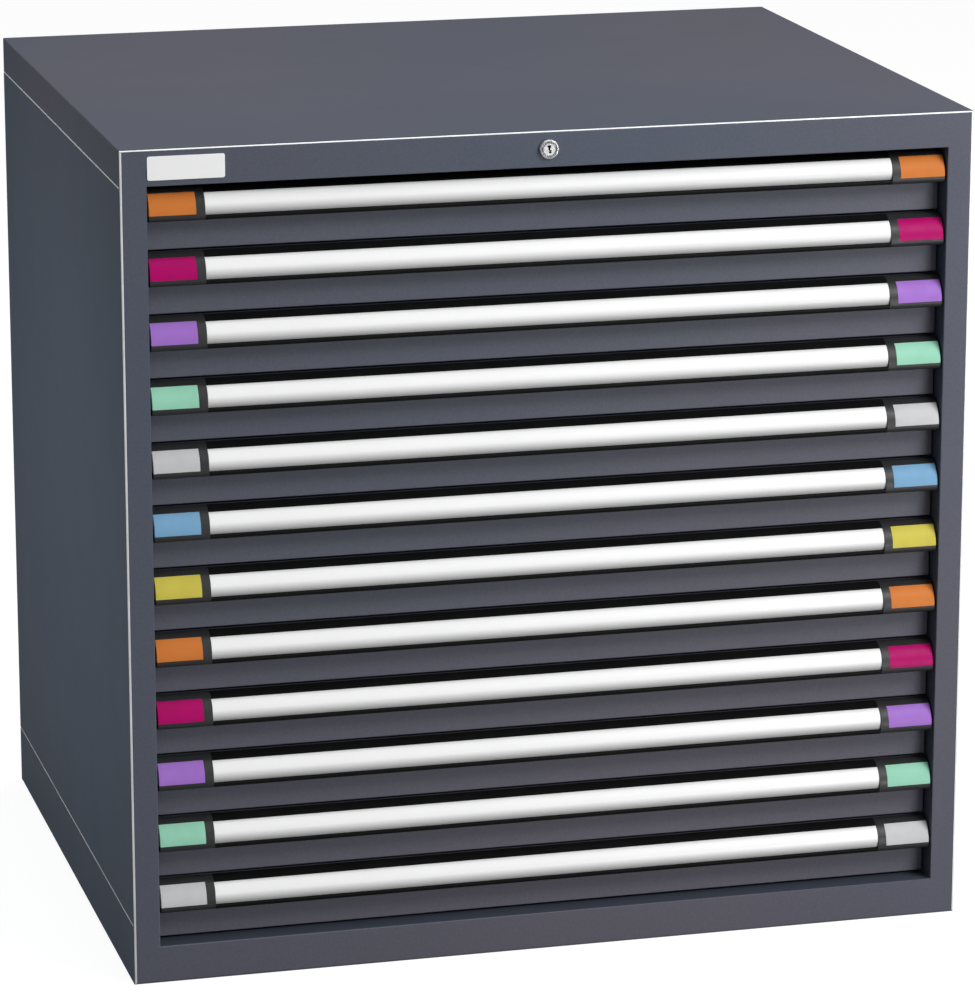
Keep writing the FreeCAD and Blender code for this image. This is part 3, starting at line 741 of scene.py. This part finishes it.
def rod_and_crank():
    """Rod from the plug to the rear, with the crank and the pin that works the lock bar."""
    bm = bmesh.new()
    crank_back = bar_front - 1 * mm
    crank_front = crank_back - crank_sheet
    overlap = 0.02 * mm
    pin_x = lock_x + crank_reach * math.cos(math.radians(crank_angle))
    pin_z = lock_z + crank_reach * math.sin(math.radians(crank_angle))
    rod(bm, lock_x, lock_z, rod_radius, plug_back, crank_front, 24)
    rod(bm, lock_x, lock_z, 1.5 * rod_radius, crank_front, crank_back, 32)
    rod(bm, pin_x, pin_z, 3.5 * mm, crank_front + overlap, crank_back - overlap, 32)
    rod(bm, pin_x, pin_z, pin_radius, crank_back - overlap, bar_front + 4 * mm, 24)
    return shaped(bm, soft=0.3 * mm)


# ---- Drawer, made with its front panel's lower edge at height zero ------------------------------------
def front_pan():
    """Folded front: a face with returns on four sides."""
    bm = bmesh.new()
    block(bm, (-front_half, face_y, 0), (front_half, tray_front, front_height))
    rear = [f for f in bm.faces if near(f.calc_center_median().y, tray_front)]
    bmesh.ops.delete(bm, geom=rear, context="FACES_ONLY")
    soften(bm, edges_where(bm, lambda p: near(p.y, face_y)), 0.8 * mm, 4)
    return shaped(bm, inside=(0, tray_front, front_height / 2), sheet=skin)


def tray_shell():
    """Welded tray: a flat floor, four walls and hemmed rims."""
    bm = bmesh.new()
    wall = tray_half - tray_sheet / 2
    floor = tray_lift + tray_sheet / 2
    top = tray_top - tray_sheet / 2
    hem = wall + tray_sheet
    y0, y1 = tray_front + tray_sheet / 2, tray_back - tray_sheet / 2
    path = chain(bm, [(x, y0, z) for x, z in (
        (-hem, tray_top - rim_height), (-hem, top), (-wall, top), (-wall, floor),
        (wall, floor), (wall, top), (hem, top), (hem, tray_top - rim_height))])
    pull(bm, path, (0, y1 - y0, 0))
    for y in (y0, y1):
        end = [v for v in bm.verts if near(v.co.y, y) and abs(v.co.x) < wall + 0.01 * mm]
        bm.edges.new([v for v in end if near(v.co.z, top)])
        rim = [e for e in bm.edges if all(v in end for v in e.verts)]
        bmesh.ops.edgeloop_fill(bm, edges=rim)
    return shaped(bm, inside=(0, 0, top), sheet=tray_sheet, centred=True, soft=0.25 * mm)


def row_strips():
    """Low strips on the tray's floor, between the rows of slides."""
    bm = bmesh.new()
    inside = tray_half - tray_sheet
    floor = tray_lift + tray_sheet
    low, high = floor + 0.02 * mm, floor + strip_height
    y0, y1 = tray_front + 1.2 * tray_sheet, tray_back - 1.2 * tray_sheet
    for n in range(1, strip_count + 1):
        x = -inside + n * 2 * inside / (strip_count + 1)
        strip = block(bm, (x - strip_foot, y0, low), (x + strip_foot, y1, high))
        for vert in strip:
            if vert.co.z > (low + high) / 2:
                vert.co.x = x + math.copysign(strip_crown, vert.co.x - x)
    return shaped(bm, soft=0.2 * mm)


def catch():
    """Bent hook on the tray's rear."""
    bm = bmesh.new()
    x = lock_x - catch_half
    y0 = tray_back + catch_sheet / 2
    y1 = y0 + catch_reach
    line = chain(bm, [(x, y0, catch_low), (x, y0, catch_floor), (x, y1, catch_floor), (x, y1, catch_high)])
    pull(bm, line, (2 * catch_half, 0, 0))
    folds = [e for e in bm.edges if len(e.link_faces) == 2]
    soften(bm, folds, 1.2 * mm, 4)
    return shaped(bm, sheet=catch_sheet, centred=True, soft=0.25 * mm)


def inner_runners():
    """The two runner members on the tray's sides."""
    bm = bmesh.new()
    half_wall = runner_wall / 2
    low, high = runner_low + half_wall, runner_high - half_wall
    for side in (-1, 1):
        web, lip = side * (tray_half + half_wall), side * (tray_half + runner_reach)
        line = chain(bm, [(x, tray_front, z) for x, z in ((lip, low), (web, low), (web, high), (lip, high))])
        pull(bm, line, (0, tray_back - tray_front, 0))
    folds = [e for e in bm.edges if len(e.link_faces) == 2]
    soften(bm, folds, 1.4 * mm, 4)
    return shaped(bm, sheet=runner_wall, centred=True, soft=0.25 * mm)


def hook():
    """The edge that hangs over the front panel, which ends the rail's section and the caps'."""
    return [(0, hook_under), (hook_back, hook_drop), (hook_back, hook_top)]


def grip_rail():
    """Hook-shaped profile with the label's channel on its front."""
    bm = bmesh.new()
    front = 17.3 * mm
    foot = 2.8 * mm
    foot_radius = 2.4 * mm
    seat_radius = label_radius - label_sheet - fit_gap
    under_radius = seat_radius - 2.4 * mm
    sweep(bm, -rail_half, rail_half, (hook_back, hook_top), [
        (0, hook_top),
        on_circle(cap_centre, cap_radius - 0.2 * mm, 68.36),
        (cap_centre, 18.0, 4),
        on_circle(label_centre, seat_radius, 59.6),
        (label_centre, 84.2, 18),
        (front, foot + 0.9 * mm),
        (front, foot),
        ((front - foot_radius, foot), 90, 6),
        (11.82 * mm, foot - foot_radius),
        on_circle(label_centre, under_radius, -24.6),
        (label_centre, -117.4, 20),
        (2 * mm, 12 * mm),
        (0, 12 * mm),
    ] + hook())
    closed(bm)
    return shaped(bm, soft=0.22 * mm)


def label_strip():
    """Curved white strip in the rail's channel."""
    bm = bmesh.new()
    start = on_circle(label_centre, label_radius, label_top)
    sweep(bm, -rail_half, rail_half, start, [(label_centre, label_turn, 20)])
    mesh = shaped(bm, inside=on_section(0, label_centre), sheet=label_sheet, soft=0.12 * mm)
    # The place around the curve, from the top edge, which the label's painted shade reads.
    around = mesh.attributes.new("around", "FLOAT", "POINT")
    middle = on_section(0, label_centre)
    for vert, place in zip(mesh.vertices, around.data):
        degrees = math.degrees(math.atan2(vert.co.z - middle.z, middle.y - vert.co.y))
        place.value = (label_top - degrees) / label_turn
    return mesh


def colour_tab(side):
    """Coloured plastic tab on an end cap: a plate on the cap's curve and a flap round its end."""
    bm = bmesh.new()
    plate = on_circle(cap_centre, cap_radius, tab_turn)
    tuck = on_circle(cap_centre, cap_radius - tab_flap, tab_turn)
    end = side * grip_half
    line = chain(bm, [on_section(side * (grip_half - tab_width), plate), on_section(end, plate),
                      on_section(end, tuck)])
    turn(bm, line, on_section(0, cap_centre), (1, 0, 0), tab_turn, 14)

    def on_corner(p):
        out = Vector((face_y - p.y, p.z - grip_base)) - Vector(cap_centre)
        return near(abs(p.x), grip_half) and near(out.length, cap_radius)

    soften(bm, [e for e in edges_where(bm, on_corner) if len(e.link_faces) == 2], 0.7 * mm, 4)
    return shaped(bm, inside=on_section(0, cap_centre), sheet=tab_sheet, soft=0.12 * mm)


def end_cap(side):
    """Moulded cap at one end of the rail, hollow from below, with a seat for its tab."""
    bm = bmesh.new()
    cap_top = 68.47
    toe = 4 * mm
    front = cap_centre[0] + cap_radius
    sweep(bm, side * rail_half, side * grip_half, (hook_back, hook_top), [
        (0, hook_top),
        on_circle(cap_centre, cap_radius, cap_top),
        (cap_centre, cap_top, 16),
        (front, toe),
        ((front - toe, toe), 90, 8),
        (0, 0),
    ] + hook())
    closed(bm)
    rims = edges_where(bm, lambda p: p.y < face_y - 0.1 * mm and
                       (near(abs(p.x), rail_half) or near(abs(p.x), grip_half)))
    soften(bm, [e for e in rims if near(e.verts[0].co.x, e.verts[1].co.x)], 0.35 * mm, 3)
    hollow = bmesh.new()
    left, right = sorted((side * (rail_half + cap_wall), side * (grip_half - tab_sheet - cap_wall)))
    block(hollow, (left, face_y - 9.5 * mm, grip_base - 1 * mm),
          (right, face_y - cap_wall, grip_base + 12 * mm))
    return shaped(bm, cutters=[seat(side), hollow])


def seat(side):
    """The room that a cap leaves for its tab: a curved slab and the slab round the end."""
    bm = bmesh.new()
    margin = 2 * mm
    spare = 0.4
    inner = cap_radius - tab_sheet - fit_gap
    outer = cap_radius + margin
    tuck = cap_radius - tab_flap - fit_gap
    plate_end = side * (grip_half - tab_width - fit_gap)
    flap = side * (grip_half - tab_sheet - fit_gap)
    beyond = side * (grip_half + margin)
    section = [(plate_end, inner), (plate_end, outer), (beyond, outer), (beyond, tuck), (flap, tuck),
               (flap, inner), (plate_end, inner)]
    line = chain(bm, [on_section(x, on_circle(cap_centre, r, tab_turn + spare)) for x, r in section])
    turn(bm, line, on_section(0, cap_centre), (1, 0, 0), tab_turn + 2 * spare, 16)
    closed(bm)
    return bm


# ---- Everything in its place --------------------------------------------------------------------------
upper_bead = seam_bead(skirt_low - seam + 0.05 * mm)
lower_bead = seam_bead(base_height + 0.05 * mm)
piece("face_frame", face_frame(), "cabinet", ["front_frame"], "cabinet_paint", cabinet_coat, rim_painted_highlight,
      return_painted_shade)
piece("top_cover_shell", top_cover(), "cabinet", ["top_cover"], "cabinet_paint", cabinet_coat)
piece("lock_rod_hanger", rod_hanger(), "cabinet", ["top_cover"], "zinc_steel", post_zinc)
piece("seam_bead_upper", upper_bead, "cabinet", [], "cabinet_paint", bead_painted_highlight)
piece("seam_bead_lower", lower_bead, "cabinet", [], "cabinet_paint", bead_painted_highlight)
piece("badge_plate", badge(), "cabinet", [], "label_plastic", plate_enamel)
piece("lock_rosette", rosette(), "cabinet", ["lock_housing"], "lock_chrome", lock_nickel, lug_painted_shade,
      groove_satin)
piece("lock_nut", lock_nut(), "cabinet", ["lock_housing"], "lock_chrome", rod_steel)
piece("lock_plug_face", plug(), "lock_cylinder", ["lock_plug"], "lock_chrome", lock_nickel, keyway_painted_shade)
piece("lock_rod_crank", rod_and_crank(), "lock_cylinder", ["lock_plug"], "lock_chrome", rod_steel)

drawer_shapes = (
    ("front", front_pan(), "tray", "drawer_paint", drawer_coat),
    ("tray_shell", tray_shell(), "tray", "drawer_paint", drawer_coat),
    ("row_strips", row_strips(), "tray", "zinc_steel", post_zinc),
    ("catch", catch(), "tray", "zinc_steel", runner_zinc),
    ("inner_runners", inner_runners(), "tray", "zinc_steel", runner_zinc),
    ("rail", grip_rail(), "grip", "grip_black", rail_black),
    ("cap_left", end_cap(-1), "grip", "grip_black", cap_black),
    ("cap_right", end_cap(1), "grip", "grip_black", cap_black),
    ("label", label_strip(), "labels", "label_plastic", film),
    ("tab_left", colour_tab(-1), "labels", "label_plastic", None),
    ("tab_right", colour_tab(1), "labels", "label_plastic", None),
)
for number, tab_coat in enumerate(tab_order, 1):
    drawer = f"drawer_{number:02d}"
    (_, _, drawer_low), _ = corners(f"{drawer}_tray")
    for part, mesh, node, slot, coat in drawer_shapes:
        piece(f"{drawer}_{part}", mesh, drawer, [f"{drawer}_{node}"], slot, coat or tab_coat, lift=drawer_low)
    nodes[f"{drawer}_middle_runners"].data.materials.clear()
    nodes[f"{drawer}_middle_runners"].data.materials.append(runner_zinc)

for name, coat in (
    ("side_panel_left", side_shaded_coat), ("side_panel_right", side_shaded_coat), ("base_tray", side_shaded_coat),
    ("back_panel", cabinet_coat), ("back_rivets", rivet_steel), ("runner_posts", post_zinc),
    ("cabinet_runners", runner_zinc), ("lock_bar", post_zinc),
):
    nodes[name].data.materials.clear()
    nodes[name].data.materials.append(coat)


# ---- Floor, light and camera --------------------------------------------------------------------------
white = (1, 1, 1, 1)
floor_tone = (0.32, 0.32, 0.32, 1)
floor_glow = 0.86
air_light = 0.3
camera_place = (-1.0328, -4.0058, 1.4052)
camera_tilt, camera_turn = 75.283, -14.692
camera_lens = 174.33


def seen_directly(add):
    """1 for what the camera sees, and 0 for light that falls on things."""
    return add("LightPath").outputs["Is Camera Ray"]


def pale_floor():
    """A wide white floor that keeps the cabinet's shadow."""
    bm = bmesh.new()
    bmesh.ops.create_grid(bm, x_segments=1, y_segments=1, size=15)
    mesh = bpy.data.meshes.new("studio_floor")
    bm.to_mesh(mesh)
    bm.free()
    floor = bpy.data.objects.new("studio_floor", mesh)
    bpy.context.scene.collection.objects.link(floor)
    coat = bpy.data.materials.new("floor_white")
    add = node_maker(coat)
    matt = add("BsdfDiffuse", {"Color": floor_tone})
    strength = add("Math", {0: seen_directly(add), 1: floor_glow}, operation="MULTIPLY").outputs[0]
    glow = add("Emission", {"Color": white, "Strength": strength})
    both = add("AddShader", {0: matt.outputs[0], 1: glow.outputs[0]})
    add("OutputMaterial", {"Surface": both.outputs[0]})
    mesh.materials.append(coat)


def pale_air():
    """White air that is brighter to the camera than to the cabinet."""
    world = bpy.data.worlds.new("studio_air")
    bpy.context.scene.world = world
    add = node_maker(world)
    strength = add("MapRange", {"Value": seen_directly(add), "To Min": air_light, "To Max": 1.0}).outputs[0]
    air = add("Background", {"Color": white, "Strength": strength})
    add("OutputWorld", {"Surface": air.outputs[0]})


def softbox(name, place, aim, size, power, spread=180):
    """A soft light aimed at a point, its spread in degrees."""
    lamp = bpy.data.lights.new(name, "AREA")
    lamp.shape = "RECTANGLE"
    lamp.size, lamp.size_y = size
    lamp.energy = power
    lamp.spread = math.radians(spread)
    made = bpy.data.objects.new(name, lamp)
    made.location = place
    made.rotation_euler = (Vector(aim) - Vector(place)).to_track_quat("-Z", "Y").to_euler()
    bpy.context.scene.collection.objects.link(made)


def camera():
    """Camera at the front, from the left and above."""
    lens = bpy.data.cameras.new("front_camera")
    lens.sensor_width = 36
    lens.lens = camera_lens
    lens.clip_end = 100
    made = bpy.data.objects.new("front_camera", lens)
    made.location = camera_place
    made.rotation_euler = (math.radians(camera_tilt), 0, math.radians(camera_turn))
    bpy.context.scene.collection.objects.link(made)
    bpy.context.scene.camera = made


pale_floor()
pale_air()
softbox("key_light", (1.82, -2.02, 2.14), (0.1, -0.28, 0.4), (1.1, 1.1), 59)
softbox("overhead_light", (-0.2, -0.2, 3.2), (0, 0, 0.5), (2.4, 2.4), 36)
softbox("left_light", (-3.2, -0.1, 0.5), (-0.36, 0.02, 0.38), (0.6, 0.6), 0.75, 26)
softbox("low_light", (1.35, -2.5, 0.2), (0.0, -0.28, 0.1), (0.9, 0.4), 18)
softbox("back_light", (2.2, 2.9, 0.35), (0, 0.28, 0.35), (1.4, 0.6), 40)
camera()
bpy.context.scene.view_settings.view_transform = "Standard"
